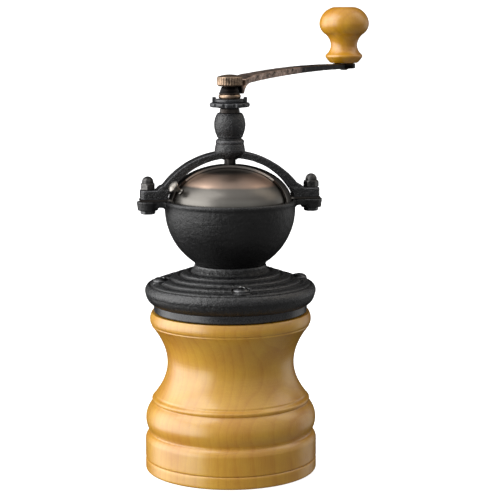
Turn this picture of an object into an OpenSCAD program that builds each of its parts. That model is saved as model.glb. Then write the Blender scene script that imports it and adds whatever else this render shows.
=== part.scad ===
// Hand crank coffee grinder: a turned wooden jar, a cast iron head that lifts off it,
// a hopper bowl under two nested half domes, and a crank on a spindle that drives conical burrs.
// Millimetres, +Z up, origin on the spindle axis at the underside of the jar.

/* [Jar] */
// Diameter of the jar at its base band
jar_d = 90.2; // [86:0.2:110]
// Height of the jar up to its mouth
jar_h = 84; // [80:0.5:110]
// Diameter at the narrowest part of the waist
waist_d = 66.5; // [62:0.5:82]
// Height of the waist above the base
waist_z = 57; // [52:0.5:64]
// Diameter of the rim round the mouth
rim_d = 84.6; // [84:0.2:110]
// Bore of the jar
jar_bore_d = 56; // [40:1:58]
// Thickness of the glued base disc
base_h = 6.6; // [4:0.2:10]
// Depth of the counterbore that holds the mouth ring
mouth_depth = 6.8; // [5:0.2:9]
// Wall of the jar round the steel mouth ring
mouth_wall = 4.3; // [3:0.1:8]
// Wall of the steel mouth ring
mouth_ring_wall = 2.8; // [2:0.1:4]

/* [Head] */
// Turn of the head, with its lugs and yoke, about the spindle
head_turn = 8.5; // [-45:0.5:45]
// Largest diameter of the flange
flange_d = 88.8; // [86:0.2:110]
// Height of the flange from its underside to its outer groove
flange_h = 10.5; // [9:0.5:14]
// Rise of the flange's top for each millimetre towards the neck
flange_slope = 0.345; // [0.2:0.01:0.5]
// Number of raised rings on the flange
ring_count = 4; // [2:1:5]
// Height of the steel ring that shows under the flange
ring_h = 4.1; // [3:0.1:6]
// Diameter of the steel ring under the flange
ring_d = 80.2; // [78:0.2:84]
// Length of the ring's spigot inside the mouth ring
spigot_h = 6.8; // [4:0.2:9]
// Distance of the flange screws from the flange's side
screw_in = 7.9; // [7:0.1:9.5]
// Diameter of the flange screws
screw_d = 4; // [3:0.5:5]
// Wall of the neck round the bowl's spigot
neck_wall = 2; // [1.5:0.1:4]
// Outer diameter of the hopper bowl
bowl_d = 68; // [64:0.5:84]
// Wall of the hopper bowl
bowl_wall = 3; // [2.5:0.1:4]
// Height of the rim above the middle of the bowl's sphere
rim_h = 4.4; // [3.5:0.1:6]
// Distance of each yoke bolt from the side of the bowl
lug_out = 8.8; // [7:0.2:16]
// Diameter of the yoke bolts
bolt_d = 4; // [3:0.5:5]

/* [Domes] */
// Height of the rear dome above the ledge that it stands on
dome_h = 19.9; // [16:0.1:24]
// Wall of each dome
dome_wall = 1.1; // [0.8:0.1:1.5]
// Gap between the nested domes
dome_gap = 0.35; // [0.3:0.05:0.6]
// Distance that the rear dome reaches in front of the spindle
dome_reach = 5; // [4.8:0.1:9]
// Radius of the round door that is cut from the rear dome
door_r = 60; // [40:1:80]
// Turn of the door about the spindle, from the front of the head
door_turn = -9.5; // [-12:0.5:12]
// Angle from the edge of the door to the lid's knob
lid_knob_angle = 6.5; // [6:0.5:30]
// Angle by which the lid laps under the rear dome at each side
lid_lap = 8; // [4:0.5:12]

/* [Yoke] */
// Width of the yoke from front to back
yoke_w = 10; // [8:0.5:14]
// Thickness of the yoke's arch at its crown
yoke_t = 3.7; // [3.3:0.1:6]
// Thickness of the yoke's feet
foot_h = 4.8; // [4:0.2:7]
// Clearance between the rear dome and the underside of the arch
arch_gap = 3.3; // [2:0.1:6]
// Height of the column from its boss to its top
column_h = 23.5; // [20:0.5:36]

/* [Spindle and crank] */
// Diameter of the spindle
shaft_d = 6; // [5:0.2:7.2]
// Radial clearance of running fits
fit = 0.05; // [0.02:0.01:0.08]
// Length of the crank from spindle to knob
crank_len = 126; // [100:1:160]
// Direction of the crank at rest
crank_turn = 58.5; // [0:0.5:360]
// Diameter of the adjusting wheel
wheel_d = 20.9; // [18:0.1:26]
// Number of notches round the adjusting wheel
notch_count = 12; // [6:1:16]
// Diameter of the knurled crank nut
nut_d = 13.2; // [11:0.1:14]
// Number of knurls round the crank nut
knurl_count = 28; // [16:1:36]
// Diameter of the wooden knob
knob_d = 28.5; // [24:0.5:36]
// Height of the wooden knob
knob_h = 31.8; // [28:0.1:44]

/* [Burrs] */
// Wall of the ring burr behind its teeth
ring_burr_wall = 2.55; // [2:0.05:4]
// Height of the ring burr
ring_burr_h = 13; // [10:0.5:14]
// Diameter across the cone burr at its foot
cone_burr_d = 26.4; // [24:0.2:31.6]
// Number of teeth on the cone burr
cone_teeth = 18; // [12:1:24]
// Number of teeth in the ring burr
ring_teeth = 24; // [16:1:30]

/* [Hidden] */
$fn = 72;

air = 0.3;          // gap between pieces that move past each other
seat = 0.05;        // gap between pieces that are fitted together
eps = 0.01;         // overshoot of a cut

// Colours
wood = "burlywood";
iron = "dimgray";
dark_steel = "slategray";
steel = "silver";
bronze = "peru";
smoked = "rosybrown";

// Jar
jar_r = jar_d / 2;
waist_r = waist_d / 2;
jar_rim_r = rim_d / 2;
rim_band = 7;               // height of the band round the mouth
band_top = base_h + 9.4;    // where the base band starts to round over
groove_z = base_h + 13.8;   // foot of the groove above the base band
bulge_top = groove_z + 15.8;
lip_z = bulge_top + 2.2;    // where the cove starts
ring_seat_z = jar_h - mouth_depth;
mouth_ring_r = jar_rim_r - mouth_wall;
mouth_bore_r = mouth_ring_r - mouth_ring_wall;
ring_screw_z = jar_h - mouth_depth / 2;
ring_screw_count = 3;

// Head, from the jar upwards
ring_z = jar_h + air;               // underside of the steel ring
flange_z = ring_z + ring_h;         // underside of the casting
groove_top_z = flange_z + flange_h;
flange_r = flange_d / 2;
spigot_r = mouth_bore_r - air - seat;
spigot_wall = 2.4;
screw_r = flange_r - screw_in;      // radius of the circle that the flange screws lie on
screw_seat_z = groove_top_z + 1.5;
outer_groove_r = flange_r - 1.9;
cone_r = cone_burr_d / 2;
ring_bore_r = cone_r + 0.75;
burr_r = ring_bore_r + ring_burr_wall;
throat_r = burr_r - 1.7;
bowl_spigot_r = throat_r + 1.9;     // spigot under the bowl, in the flange's neck
bowl_spigot_h = 3;
neck_r = bowl_spigot_r + seat + neck_wall;
inner_groove_r = neck_r + 2.4;
ring_pitch = (outer_groove_r - inner_groove_r) / ring_count;
bowl_r = bowl_d / 2;
bowl_in_r = bowl_r - bowl_wall;
neck_z = flange_z + 20.8;
bowl_z = neck_z + sqrt(bowl_r * bowl_r - neck_r * neck_r) + 0.9;  // centre of the bowl's sphere
lug_reach = bowl_r + lug_out;       // distance from the spindle to each yoke bolt
rim_z = bowl_z + rim_h;             // top of the bowl's rim
rim_r = bowl_r + 0.5;
ledge_z = rim_z - 1.6;              // ledge that the domes stand on
ledge_out_r = bowl_r - 1.4;
ledge_in_r = bowl_r - 5.1;
lug_t = 5;
lug_boss_r = 6;

// Burr chamber
bridge_top_z = flange_z + 2.6;      // where the ring burr rests on the bridge
bridge_t = 3.6;
burr_top_z = bridge_top_z + ring_burr_h;
hub_r = burr_r + 4;
bridge_screw_r = burr_r + 5;
bridge_screw_d = 3;
bridge_arm_count = 3;

// Domes
dome_r = ledge_out_r - 0.5;
dome_z = ledge_z + seat;
apex_z = dome_z + dome_h;
lid_r = dome_r - dome_wall - dome_gap;
lid_z = ledge_z + air;
lid_h = apex_z - dome_wall - dome_gap - lid_z;
door_away = door_r + dome_reach;    // from the spindle to the middle of the door's circle
door_half = acos((pow(door_away, 2) + pow(dome_r, 2) - pow(door_r, 2)) / (2 * door_away * dome_r));
lid_half = door_half + lid_lap;
eye_r = 7.5;                        // radius of the lid round the spindle
lid_knob_r = lid_r - 2.2;           // distance from the spindle to the foot of the lid's knob
ear_t = 1;

// Yoke
foot_z = rim_z + ear_t;
foot_top = foot_z + foot_h;
arch_in_z = apex_z + arch_gap;      // underside of the arch on the axis
arch_in_x = lug_reach - 9.2;        // where the arch's inner edge meets the underside of the foot
arch_in_r = circle_r(arch_in_x, arch_in_z - foot_z);
arch_out_z = arch_in_z + yoke_t;
arch_out_x = lug_reach - 6.1;       // where the arch's outer edge meets the top of the foot
arch_out_r = circle_r(arch_out_x, arch_out_z - foot_top);
boss_z = arch_in_z - 0.3;
column_top = boss_z + column_h;
column_r = 8.2;
bush_r = shaft_d / 2 + 1;
bush_collar_r = 5.3;
bush_collar_h = 2;

// Spindle stack
shaft_r = shaft_d / 2;
bore_r = shaft_r + fit;
wheel_z = column_top + seat + bush_collar_h + air;
wheel_t = 2.9;
plate_z = wheel_z + wheel_t + air;
plate_t = 1.5;
washer_z = plate_z + plate_t + air;
washer_t = 2.2;
hub_z = washer_z + washer_t;
hub_h = 3.9;
nut_z = hub_z + hub_h + 0.2;
nut_h = 6;
shaft_top = nut_z + nut_h - 2.2;
journal_r = shaft_r * 0.8 - 0.1;
journal_z = bridge_top_z + 1.75;    // where the lower journal starts
shaft_foot = bridge_top_z - bridge_t - 2.4;
flat_w = shaft_r * 1.6;             // across the flats inside the cone burr

// Cone burr
cone_z = journal_z;
cone_h = 13.7;
cone_top_scale = 0.62;

// Crank, in the plane of its arm: s runs out from the spindle
eye_s = crank_len;
arm_z = nut_z + 3.7;                // underside of the arm's far end
eye_t = 3;
knob_z = arm_z + eye_t + air;
knob_r = knob_d / 2;
pin_r = 2;

// Points after a and up to b on an arc whose middle stands off the chord by sag, to the left
function arc(a, b, sag, n = 8) =
    let (
        d = b - a,
        len = norm(d),
        along = d / len,
        left = [-along[1], along[0]],
        r = (len * len / 4 + sag * sag) / (2 * sag),
        centre = (a + b) / 2 + left * (sag - r),
        half = asin(len / 2 / abs(r))
    )
    [for (i = [1:n]) let (t = half * (2 * i / n - 1))
        centre + left * r * cos(t) + along * abs(r) * sin(t)];

// Points on a cove that is deepest at z0: its radius grows with the square of the height
function cove(z_from, z_to, z0, r0, z_end, r_end, n = 12) =
    [for (i = [1:n]) let (z = z_from + (z_to - z_from) * i / n)
        [r0 + (r_end - r0) * pow((z - z0) / (z_end - z0), 2), z]];

// Radius of a circle whose arc rises by h over a half chord
function circle_r(half_chord, h) = (half_chord * half_chord + h * h) / (2 * h);

// Points on a quarter of an ellipse that stands on height z, from radius r_from to r_to
function dome_curve(r, h, z, r_from, r_to, n = 20) =
    let (from = asin(r_from / r), to = asin(r_to / r))
    [for (i = [0:n]) let (t = from + (to - from) * i / n) [r * sin(t), z + h * cos(t)]];

// Points on a circle of radius r about [0, z], between two angles from straight up
function dome_arc(r, z, from, to, n) =
    [for (i = [0:n]) let (t = from + (to - from) * i / n) [r * sin(t), z + r * cos(t)]];

// Copies of the children, evenly spread about Z
module ring_of(count, first = 0) {
    for (i = [0:count - 1])
        rotate([0, 0, first + i * 360 / count])
            children();
}

// A cylinder or cone that starts at height z
module rod(z, h, r, r2 = -1) {
    translate([0, 0, z])
        cylinder(h = h, r1 = r, r2 = r2 < 0 ? r : r2);
}

// ---------------------------------------------------------------- jar

module jar_body() {
    groove_r = jar_r - 2.1;
    lip_r = jar_r - 3.7;
    line_r = jar_r - 0.5;
    rim_foot = [jar_rim_r - 1, jar_h - rim_band];
    rim_top = [jar_rim_r - 1.1, jar_h];
    outline = concat(
        [[jar_bore_d / 2, base_h], [line_r, base_h], [jar_r, base_h + 0.6], [jar_r, band_top]],
        arc([jar_r, band_top], [groove_r, groove_z], -0.6, 6),
        [[groove_r, groove_z + 1]],
        arc([groove_r, groove_z + 1], [lip_r - 0.2, bulge_top], -2.6, 16),
        [[lip_r - 0.5, bulge_top + 0.4]],
        arc([lip_r - 0.5, bulge_top + 0.4], [lip_r, lip_z], -0.3, 4),
        cove(lip_z, waist_z, waist_z, waist_r, lip_z, lip_r),
        cove(waist_z, rim_foot[1], waist_z, waist_r, rim_foot[1], rim_foot[0]),
        arc(rim_foot, rim_top, -0.95, 10),
        [[mouth_ring_r + seat, jar_h], [mouth_ring_r + seat, ring_seat_z],
         [jar_bore_d / 2, ring_seat_z]]
    );
    color(wood)
        difference() {
            rotate_extrude()
                polygon(outline);
            ring_of(ring_screw_count, 90)
                translate([mouth_ring_r - 1, 0, ring_screw_z])
                    rotate([0, 90, 0])
                        cylinder(h = 3.6, r = 1.1 + seat);
        }
}

module base_disc() {
    line_r = jar_r - 0.5;
    edge = concat(
        [[0, 0], [jar_r - 0.9, 0]],
        arc([jar_r - 0.9, 0], [jar_r, 1.2], -0.25, 4),
        [[jar_r, base_h - 0.6], [line_r, base_h], [jar_bore_d / 2 - seat, base_h],
         [jar_bore_d / 2 - seat, base_h + 2], [0, base_h + 2]]
    );
    color(wood)
        rotate_extrude()
            polygon(edge);
}

module mouth_ring() {
    color(steel)
        difference() {
            rotate_extrude()
                polygon([
                    [mouth_bore_r, ring_seat_z + seat], [mouth_ring_r, ring_seat_z + seat],
                    [mouth_ring_r, jar_h - 0.3], [mouth_ring_r - 0.3, jar_h],
                    [mouth_bore_r + 0.5, jar_h], [mouth_bore_r, jar_h - 0.5]
                ]);
            ring_of(ring_screw_count, 90)
                ring_screw(seat * 2);
        }
}

// A countersunk screw that runs outwards from the ring's bore; grow widens it into its own hole
module ring_screw(grow = 0) {
    translate([mouth_bore_r - grow, 0, ring_screw_z])
        rotate([0, 90, 0]) {
            cylinder(h = 1.3, r1 = 2.2 + grow, r2 = 1.1 + grow);
            cylinder(h = mouth_ring_wall + 2.4 + grow, r = 1.1 + grow);
        }
}

module mouth_ring_screws() {
    color(bronze)
        ring_of(ring_screw_count, 90)
            difference() {
                intersection() {
                    ring_screw();
                    translate([mouth_bore_r + 0.15, -3, ring_screw_z - 3])
                        cube([9, 6, 6]);
                }
                translate([mouth_bore_r - 1, -0.3, ring_screw_z - 3])
                    cube([1.7, 0.6, 6]);
            }
}

// ---------------------------------------------------------------- head

// Height of the flange's cone at a radius
function flange_top(r) = groove_top_z + (outer_groove_r - r) * flange_slope;

module flange_casting() {
    shell = 3.6;
    groove_depth = 0.6;
    wall_r = flange_r - 5;
    grooves = [for (i = [0:ring_count]) outer_groove_r - i * ring_pitch];
    socket_r = bowl_spigot_r + seat;
    socket_z = neck_z - bowl_spigot_h - seat;
    outline = concat(
        [[throat_r, socket_z], [throat_r, burr_top_z], [burr_r + 0.1, burr_top_z],
         [burr_r + 0.1, bridge_top_z],
         [hub_r, bridge_top_z], [hub_r, flange_top(hub_r) - shell],
         [wall_r, flange_top(wall_r) - shell], [wall_r - 1.9, flange_z],
         [ring_d / 2 + 0.6, flange_z]],
        arc([ring_d / 2 + 0.6, flange_z], [flange_r, flange_z + 5.4], -0.8, 6),
        arc([flange_r, flange_z + 5.4], [outer_groove_r + 0.4, groove_top_z], -0.95, 6),
        [[outer_groove_r, groove_top_z - groove_depth]],
        [for (i = [0:ring_count - 1])
            each arc([grooves[i], flange_top(grooves[i]) - groove_depth],
                     [grooves[i + 1], flange_top(grooves[i + 1]) - groove_depth], -ring_pitch * 0.13, 7)],
        arc([inner_groove_r, flange_top(inner_groove_r) - groove_depth], [neck_r, neck_z - seat], 0.6, 6),
        [[socket_r, neck_z - seat], [socket_r, socket_z]]
    );
    color(iron)
        rotate([0, 0, head_turn])
            difference() {
                union() {
                    rotate_extrude()
                        polygon(outline);
                    ring_of(4)
                        translate([screw_r, 0, 0])
                            rod(flange_z, screw_seat_z - flange_z, screw_d / 2 + 2.6);
                    ring_of(bridge_arm_count, 30)
                        translate([bridge_screw_r, 0, 0])
                            rod(bridge_top_z, 10, 4);
                }
                ring_of(4)
                    translate([screw_r, 0, 0]) {
                        rod(flange_z - eps, 20, screw_d / 2 + 0.15);
                        rod(screw_seat_z, 6, screw_d / 2 + 2.9);
                    }
                ring_of(bridge_arm_count, 30)
                    translate([bridge_screw_r, 0, 0])
                        rod(bridge_top_z - eps, 8, bridge_screw_d / 2 + seat);
            }
}

// The bowl with its rim and two ears; a spigot at its foot sits in the flange's neck
module hopper_bowl() {
    outline = concat(
        [[throat_r, neck_z - bowl_spigot_h], [bowl_spigot_r, neck_z - bowl_spigot_h],
         [bowl_spigot_r, neck_z], [neck_r, neck_z]],
        dome_arc(bowl_r, bowl_z, 180 - asin(neck_r / bowl_r), 90, 16),
        [[bowl_r, rim_z - 2.6]],
        arc([bowl_r, rim_z - 2.6], [rim_r - 0.5, rim_z], -0.5, 6),
        [[ledge_out_r, rim_z], [ledge_out_r, ledge_z], [ledge_in_r, ledge_z], [ledge_in_r, ledge_z - 1.1]],
        dome_arc(bowl_in_r, bowl_z, 94, 180 - asin(throat_r / bowl_in_r), 14)
    );
    color(iron)
        rotate([0, 0, head_turn])
            difference() {
                union() {
                    rotate_extrude()
                        polygon(outline);
                    for (side = [0, 180])
                        rotate([0, 0, side])
                            lug();
                }
                for (side = [-1, 1])
                    translate([side * lug_reach, 0, 0])
                        rod(rim_z - 10, 12, bolt_d / 2 + 0.1);
            }
}

// One ear of the bowl's rim with the boss for a yoke bolt, thinner between the boss and the bowl
module lug() {
    web_t = 3.4;
    draft = 0.7;
    difference() {
        union() {
            translate([lug_reach, 0, 0])
                rod(rim_z - lug_t, lug_t, lug_boss_r - draft, lug_boss_r);
            translate([bowl_r - 1, -4.5, rim_z - web_t])
                cube([lug_reach - bowl_r + 1, 9, web_t]);
            rotate([90, 0, 0])
                linear_extrude(height = 6, center = true)
                    polygon(concat(
                        [[bowl_r - 1, rim_z - web_t + eps], [bowl_r - 1, rim_z - lug_t - 1.2]],
                        arc([bowl_r - 0.6, rim_z - lug_t - 1.2], [bowl_r + 2.6, rim_z - web_t + eps], 0.8, 5)
                    ));
        }
        rod(rim_z - 12, 13, bowl_in_r + 0.5);
        rod(rim_z - 3, 4, ledge_out_r);
    }
}

module screw_ring() {
    spigot_in_r = spigot_r - spigot_wall;
    color(dark_steel)
        rotate([0, 0, head_turn])
            difference() {
                rotate_extrude()
                    polygon([
                        [spigot_in_r, ring_z - spigot_h + 0.5], [spigot_in_r + 0.5, ring_z - spigot_h],
                        [spigot_r - 0.5, ring_z - spigot_h], [spigot_r, ring_z - spigot_h + 0.5],
                        [spigot_r, ring_z], [ring_d / 2 - 0.5, ring_z], [ring_d / 2, ring_z + 0.5],
                        [ring_d / 2, flange_z], [spigot_in_r, flange_z]
                    ]);
                ring_of(4)
                    translate([screw_r, 0, 0])
                        rod(ring_z + 0.8, ring_h, screw_d / 2 + seat);
            }
}

// A pan head screw, head up, with a cross recess: its head's underside is at z = 0
module pan_screw(d, length, head_r, head_h) {
    difference() {
        union() {
            rotate_extrude()
                polygon(concat(
                    [[0, 0], [head_r, 0], [head_r, head_h * 0.35]],
                    arc([head_r, head_h * 0.35], [0, head_h], -head_h * 0.26, 8)
                ));
            rod(-length, length + eps, d / 2);
        }
        for (turn = [0, 90])
            rotate([0, 0, turn])
                translate([-head_r * 0.55, -head_r * 0.13, head_h * 0.45])
                    cube([head_r * 1.1, head_r * 0.26, head_h]);
    }
}

module flange_screws() {
    color(dark_steel)
        rotate([0, 0, head_turn])
            ring_of(4)
                translate([screw_r, 0, screw_seat_z])
                    rotate([0, 0, 35])
                        pan_screw(screw_d, screw_seat_z - ring_z - 1, screw_d / 2 + 2.1, 2.5);
}

// A ring of saw teeth as a flat outline: tip radius r, depth inwards or outwards
module saw_outline(r, depth, count) {
    step = 360 / count;
    polygon([
        for (i = [0:count - 1])
            for (p = [[0, r], [0.12, r], [0.3, r + depth], [0.85, r + depth * 0.15]])
                [p[1] * cos((i + p[0]) * step), p[1] * sin((i + p[0]) * step)]
    ]);
}

module outer_burr() {
    color(steel)
        difference() {
            rod(bridge_top_z, ring_burr_h, burr_r);
            translate([0, 0, bridge_top_z - eps])
                linear_extrude(height = ring_burr_h + 2 * eps, twist = 24, scale = 0.875, slices = 10)
                    saw_outline(ring_bore_r, 0.9, ring_teeth);
        }
}

module inner_burr() {
    color(steel)
        difference() {
            translate([0, 0, cone_z])
                linear_extrude(height = cone_h, twist = -40, scale = cone_top_scale, slices = 12)
                    saw_outline(cone_r, -1.1, cone_teeth);
            flatted_rod(cone_z - 1, cone_h + 2, shaft_r + seat, flat_w / 2 + seat);
        }
}

// A rod with two flats along it
module flatted_rod(z, h, r, half_w) {
    intersection() {
        rod(z, h, r);
        translate([-r - 1, -half_w, z - 1])
            cube([2 * r + 2, 2 * half_w, h + 2]);
    }
}

module burr_bridge() {
    arm_w = 6;
    color(iron)
        rotate([0, 0, head_turn])
            difference() {
                union() {
                    rod(bridge_top_z - bridge_t, bridge_t, shaft_r + 4);
                    ring_of(bridge_arm_count, 30) {
                        translate([0, -arm_w / 2, bridge_top_z - bridge_t])
                            cube([bridge_screw_r, arm_w, bridge_t]);
                        translate([bridge_screw_r, 0, 0])
                            rod(bridge_top_z - bridge_t, bridge_t, 4);
                    }
                }
                rod(bridge_top_z - bridge_t - 1, bridge_t + 2, bush_r + 0.5 + seat);
                ring_of(bridge_arm_count, 30)
                    translate([bridge_screw_r, 0, 0])
                        rod(bridge_top_z - bridge_t - 1, bridge_t + 2, bridge_screw_d / 2 + 0.15);
            }
}

module bridge_screws() {
    color(dark_steel)
        rotate([0, 0, head_turn])
            ring_of(bridge_arm_count, 30)
                translate([bridge_screw_r, 0, bridge_top_z - bridge_t])
                    rotate([180, 0, 0])
                        pan_screw(bridge_screw_d, bridge_t + 7, bridge_screw_d / 2 + 1.3, 2);
}

module lower_bush() {
    color(bronze)
        difference() {
            rod(bridge_top_z - bridge_t - 0.4, bridge_t + 0.4, bush_r + 0.5);
            rod(bridge_top_z - bridge_t - 2, bridge_t + 4, journal_r + fit);
        }
}

// ---------------------------------------------------------------- domes

// A whole dome of one wall that stands on height z, with a hole round the spindle
module dome_shell(r, h, z) {
    hole_r = shaft_r + 0.5;
    rotate_extrude()
        polygon(concat(
            dome_curve(r, h, z, r, hole_r),
            dome_curve(r - dome_wall, h - dome_wall, z, hole_r, r - dome_wall)
        ));
}

module rear_dome() {
    color(smoked)
        rotate([0, 0, head_turn])
            difference() {
                union() {
                    difference() {
                        dome_shell(dome_r, dome_h, dome_z);
                        rotate([0, 0, door_turn])
                            translate([0, -door_away, 0])
                                cylinder(h = 2 * apex_z, r = door_r, $fn = 180);
                    }
                    difference() {
                        translate([-lug_reach - 4.2, -4.6, rim_z])
                            cube([2 * lug_reach + 8.4, 9.2, ear_t]);
                        rod(rim_z - 1, ear_t + 2, dome_r - 0.7);
                    }
                }
                for (side = [-1, 1])
                    translate([side * lug_reach, 0, 0])
                        rod(rim_z - 1, ear_t + 2, bolt_d / 2 + 0.1);
            }
}

// Places children on the lid at the knob, with +Z along the lid's normal
module at_lid_knob() {
    knob_drop = sqrt(1 - pow(lid_knob_r / lid_r, 2));
    rotate([0, 0, head_turn + door_turn + 270 - door_half + lid_knob_angle])
        translate([lid_knob_r, 0, lid_z + lid_h * knob_drop])
            rotate([0, atan(lid_knob_r * lid_h / (lid_r * lid_r * knob_drop)), 0])
                children();
}

// Plan of the lid: a sector, and a disc round the spindle
module lid_plan() {
    far = 2 * bowl_r;
    circle(r = eye_r);
    polygon(concat(
        [[0, 0]],
        [for (t = [-1:0.5:1]) far * [sin(t * lid_half), -cos(t * lid_half)]]
    ));
}

module lid_dome() {
    color(smoked)
        difference() {
            intersection() {
                dome_shell(lid_r, lid_h, lid_z);
                rotate([0, 0, head_turn + door_turn])
                    linear_extrude(height = 2 * apex_z)
                        lid_plan();
            }
            at_lid_knob()
                rod(-dome_wall - 2, dome_wall + 4, 1.2 + seat);
        }
}

// A button on a stem, riveted over inside the lid
module lid_knob() {
    stem = 5;
    stem_r = 1.2;
    head_r = 3.2;
    inside = -dome_wall - 0.25;
    color(steel)
        at_lid_knob()
            rotate_extrude()
                polygon(concat(
                    [[0, inside - 0.8], [1.4, inside - 0.8], [1.9, inside - 0.3], [1.9, inside],
                     [stem_r, inside], [stem_r, 0.2], [1.7, 0.25], [1.7, 0.7], [stem_r, 1.1]],
                    arc([stem_r, 1.1], [head_r, stem], 0.6, 6),
                    arc([head_r, stem], [head_r - 0.3, stem + 1.2], -0.3, 4),
                    arc([head_r - 0.3, stem + 1.2], [0, stem + 2], -0.3, 6)
                ));
}

// ---------------------------------------------------------------- yoke

module yoke() {
    color(iron)
        rotate([0, 0, head_turn])
            difference() {
                union() {
                    translate([0, yoke_w / 2, 0])
                        rotate([90, 0, 0])
                            linear_extrude(height = yoke_w) {
                                arch_outline();
                                for (side = [0, 1])
                                    mirror([side, 0])
                                        foot_fillet(2.2);
                            }
                    for (side = [0, 180])
                        rotate([0, 0, side])
                            foot();
                    rotate_extrude()
                        polygon(column_outline());
                }
                rod(boss_z - 8, column_h + 20, bush_r + seat);
                for (side = [-1, 1])
                    translate([side * lug_reach, 0, 0])
                        rod(foot_z - 1, foot_h + 2, bolt_d / 2 + 0.1);
            }
}

// What fills the corner between the arch and the top of a foot
module foot_fillet(r) {
    over = [arch_out_x - r * 0.7, foot_top + r];
    out = [arch_out_x + r * 0.7, foot_top - 0.1];
    polygon(concat([[arch_out_x - r, over[1]]], arc(over, out, r * 0.24, 6), [[arch_out_x - r, out[1]]]));
}

// One foot of the yoke: a block with rounded corners at its free end
module foot() {
    from = arch_in_x - 1;
    to = lug_reach + 4;
    r = 2.4;
    w = yoke_w / 2 + 0.3;
    translate([0, 0, foot_z])
        linear_extrude(height = foot_h)
            polygon(concat(
                [[from, -w], [to - r, -w]],
                arc([to - r, -w], [to, -w + r], -r * 0.2929, 4),
                [[to, w - r]],
                arc([to, w - r], [to - r, w], -r * 0.2929, 4),
                [[from, w]]
            ));
}

// The arch from the side, between an inner and an outer circle with middles of their own
module arch_outline() {
    intersection() {
        difference() {
            translate([0, arch_out_z - arch_out_r])
                circle(r = arch_out_r, $fn = 180);
            translate([0, arch_in_z - arch_in_r])
                circle(r = arch_in_r, $fn = 180);
        }
        translate([-lug_reach, foot_z])
            square([2 * lug_reach, arch_out_z - foot_z + 1]);
    }
}

// Profile of the boss, the bead ring and the barrel on top of the arch
function column_outline() =
    let (
        waist = column_r - 2.2,
        bead_z = boss_z + 7.3,
        barrel_z = bead_z + 3.4
    )
    concat(
        [[0, boss_z], [5.4, boss_z]],
        arc([5.4, boss_z], [column_r - 0.2, boss_z + 4.2], -0.5, 5),
        [[column_r - 0.7, bead_z - 0.1], [column_r - 1.3, bead_z]],
        arc([column_r - 1.3, bead_z], [column_r - 1.3, bead_z + 2.4], -0.6, 6),
        [[waist, bead_z + 2.9], [waist, barrel_z]],
        arc([waist, barrel_z], [column_r - 1.3, barrel_z + 1.2], -0.4, 3),
        arc([column_r - 1.3, barrel_z + 1.2], [column_r - 1.3, column_top - 0.8], -1.3, 10),
        [[column_r - 1.8, column_top], [0, column_top]]
    );

module yoke_bolts() {
    head_h = 1.8;
    head_z = rim_z - lug_t - head_h;
    color(dark_steel)
        rotate([0, 0, head_turn])
            for (side = [-1, 1])
                translate([side * lug_reach, 0, 0]) {
                    intersection() {
                        translate([0, 0, head_z])
                            cylinder(h = head_h, r = bolt_d, $fn = 6);
                        rod(head_z, head_h, bolt_d * 0.86, bolt_d * 1.25);
                    }
                    rod(head_z + head_h - eps, lug_t + ear_t + foot_h + 4, bolt_d / 2);
                }
}

module cap_nuts() {
    hex_r = bolt_d * 1.02;
    hex_h = 3.3;
    cap_r = bolt_d * 0.76;
    color(steel)
        rotate([0, 0, head_turn])
            for (side = [-1, 1])
                translate([side * lug_reach, 0, foot_top])
                    difference() {
                        union() {
                            intersection() {
                                rotate([0, 0, side < 0 ? 22 : -8])
                                    cylinder(h = hex_h, r = hex_r, $fn = 6);
                                cylinder(h = hex_h, r1 = hex_r * 1.2, r2 = hex_r * 0.9);
                            }
                            cylinder(h = hex_h + 0.6, r = cap_r);
                            translate([0, 0, hex_h + 0.6])
                                sphere(r = cap_r);
                        }
                        rod(-1, 6, bolt_d / 2 + seat);
                    }
}

module upper_bush() {
    color(bronze)
        difference() {
            union() {
                rod(boss_z - 0.6, column_top - boss_z + 1, bush_r);
                rod(column_top + seat, bush_collar_h, bush_collar_r, bush_collar_r - 0.3);
            }
            rod(boss_z - 2, column_h + 10, bore_r);
            rotate([0, 0, 281])
                translate([bush_collar_r - 0.8, 0, column_top + seat + 1])
                    rotate([0, 90, 0])
                        cylinder(h = 2, r = 0.6);
        }
}

// ---------------------------------------------------------------- adjuster

module adjusting_wheel() {
    wheel_r = wheel_d / 2;
    notch_r = 1.1;
    color(dark_steel)
        difference() {
            rotate_extrude()
                polygon(concat(
                    [[bore_r, wheel_z], [bush_collar_r + 0.4, wheel_z], [bush_collar_r + 1, wheel_z + 0.5],
                     [wheel_r - 0.5, wheel_z + 0.6]],
                    arc([wheel_r - 0.5, wheel_z + 0.6], [wheel_r - 0.5, wheel_z + wheel_t], -0.5, 6),
                    [[bore_r, wheel_z + wheel_t]]
                ));
            ring_of(notch_count, 15)
                translate([wheel_r + 0.2, 0, 0])
                    rod(wheel_z - 1, wheel_t + 2, notch_r);
        }
}

module lock_plate() {
    disc_r = 7.7;
    color(dark_steel)
        difference() {
            union() {
                rod(plate_z, plate_t, disc_r);
                for (side = [0, 180])
                    rotate([0, 0, side])
                        translate([disc_r - 0.6, -2.2, plate_z])
                            cube([1.9, 4.4, plate_t + 1]);
            }
            rod(plate_z - 1, plate_t + 2, bore_r);
        }
}

// ---------------------------------------------------------------- spindle

module spindle_shaft() {
    clip_z = journal_z - 0.75;
    color(steel)
        difference() {
            union() {
                rod(shaft_foot, journal_z - shaft_foot + 1, journal_r);
                flatted_rod(journal_z, cone_h, shaft_r, flat_w / 2);
                rod(journal_z + cone_h, shaft_top - journal_z - cone_h - 0.5, shaft_r);
                rod(shaft_top - 0.5 - eps, 0.5, shaft_r, shaft_r - 0.5);
            }
            difference() {
                rod(clip_z, 0.7, journal_r + 1);
                rod(clip_z - 1, 3, journal_r - 0.5);
            }
        }
}

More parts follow.
